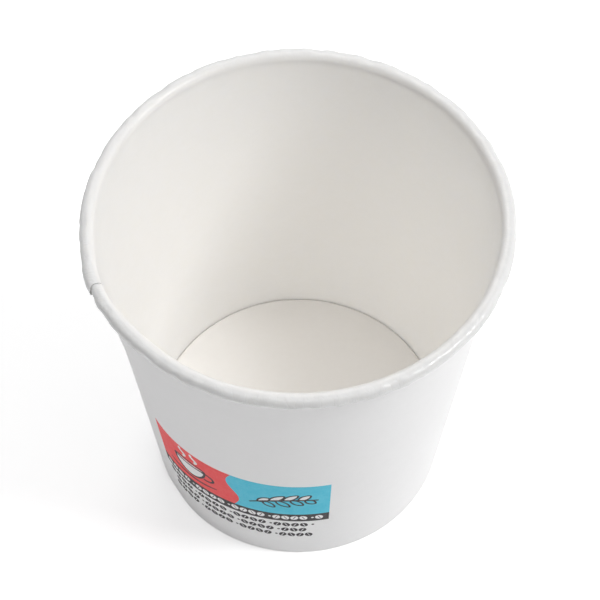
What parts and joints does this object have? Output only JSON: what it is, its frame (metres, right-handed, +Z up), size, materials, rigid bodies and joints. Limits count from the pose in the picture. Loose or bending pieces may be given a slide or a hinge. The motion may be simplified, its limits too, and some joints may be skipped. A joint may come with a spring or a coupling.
{
  "type": "paper coffee cup",
  "caption": "Small tapered paper cup with a rolled rim, a glued side lap and a recessed pressed-in bottom.",
  "frame": {"origin": "middle of the ring that the cup stands on, at table height", "axes": "+Z up along the cup's axis; the glued lap is on the -X side, a little towards -Y"},
  "size_m": [0.062, 0.062, 0.06],
  "materials": {
    "wall_board": "matt coated white",
    "bottom_board": "matt coated white"
  },
  "bodies": {
    "root": {"side_wall": "wall_board", "bottom_disc": "bottom_board"}
  },
  "joints": []
}
